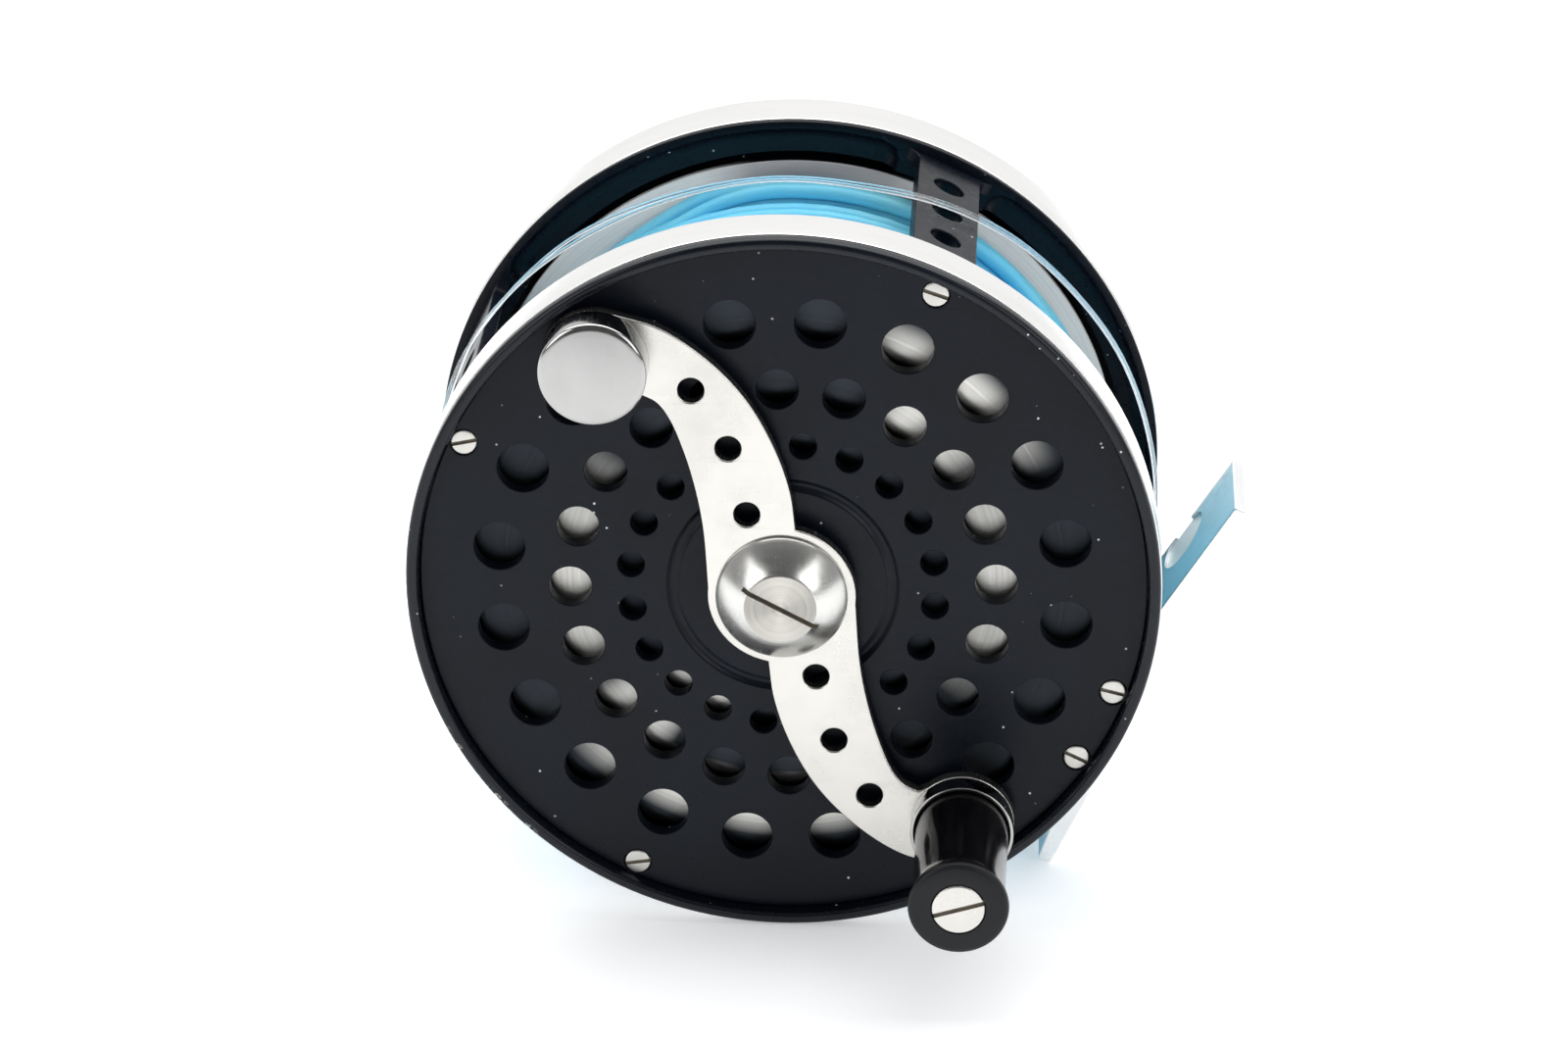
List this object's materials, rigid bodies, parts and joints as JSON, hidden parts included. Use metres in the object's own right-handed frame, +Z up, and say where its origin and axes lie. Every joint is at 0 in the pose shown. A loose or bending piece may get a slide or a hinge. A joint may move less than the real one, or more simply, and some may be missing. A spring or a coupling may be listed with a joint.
{
  "type": "fly fishing reel",
  "caption": "Fly reel with an S-shaped crank, drilled side plate, polished rims, a spool full of blue line, a click check and a rod foot.",
  "frame": {"origin": "on the surface the rims stand on, under the centre of the reel's box", "axes": "+Z up, spool axis along Y, crank side facing -Y, rod foot on the +X side"},
  "size_m": [0.106, 0.078, 0.095],
  "materials": {
    "black_anodised": "satin black anodised aluminium, faintly dusty",
    "polished_rim": "polished and lightly handled",
    "polished_foot": "polished, with a pale blue sheen on the inner face",
    "turned_metal": "lathe-turned, fine rings",
    "nickel_silver": "polished nickel silver with fine scratches",
    "steel": "turned steel",
    "brass": "turned brass",
    "horn": "polished black horn, satin end",
    "fly_line": "smooth plastic-coated line",
    "clear_mono": "clear nylon"
  },
  "bodies": {
    "frame": {"front_frame_ring": "black_anodised", "rear_frame_ring": "black_anodised", "front_plate": "black_anodised", "rear_plate": "black_anodised", "pillar_top": "black_anodised", "pillar_left": "black_anodised", "pillar_bottom": "black_anodised", "foot_bridge": "black_anodised", "front_rim_band": "polished_rim", "rear_rim_band": "polished_rim", "foot": "polished_foot", "foot_screw_upper": "steel", "foot_screw_lower": "steel", "front_screw_top": "steel", "front_screw_left": "steel", "front_screw_bottom": "steel", "front_screw_foot_upper": "steel", "front_screw_foot_lower": "steel", "rear_screw_top": "steel", "rear_screw_left": "steel", "rear_screw_bottom": "steel", "rear_screw_foot_upper": "steel", "rear_screw_foot_lower": "steel", "front_bushing": "brass", "rear_bushing": "brass", "pawl_post": "steel", "click_spring": "steel", "leader": "clear_mono"},
    "spool": {"spool_shaft": "steel", "spool_front_flange": "turned_metal", "spool_rear_flange": "turned_metal", "spool_arbor": "turned_metal", "line_winding": "fly_line", "click_gear": "brass", "crank_arm": "nickel_silver", "crank_nut": "nickel_silver", "counterweight": "nickel_silver", "knob_collar": "nickel_silver", "knob_spindle": "steel"},
    "handle_knob": {"knob": "horn"},
    "click_pawl": {"click_pawl": "steel"},
    "tension_knob": {"tension_knob": "polished_rim", "tension_cam": "steel"}
  },
  "joints": [
    {"name": "spool_spin", "type": "hinge", "parent": "frame", "child": "spool", "pos_m": [-0.00549, -0.0129, 0.0475], "axis": [0, 1, 0], "continuous": true},
    {"name": "knob_spin", "type": "hinge", "parent": "spool", "child": "handle_knob", "pos_m": [0.01751, -0.0279, 0.0161], "axis": [0, 1, 0], "continuous": true},
    {"name": "click_pawl_rock", "type": "hinge", "parent": "frame", "child": "click_pawl", "pos_m": [-0.00549, 0.0295, 0.0645], "axis": [0, 1, 0], "range_deg": [-10, 10], "stiffness_Nm_per_rad": 0.005},
    {"name": "tension_knob_turn", "type": "hinge", "parent": "frame", "child": "tension_knob", "pos_m": [-0.01649, 0.0351, 0.0721], "axis": [0, 1, 0], "range_deg": [0, 180]}
  ]
}
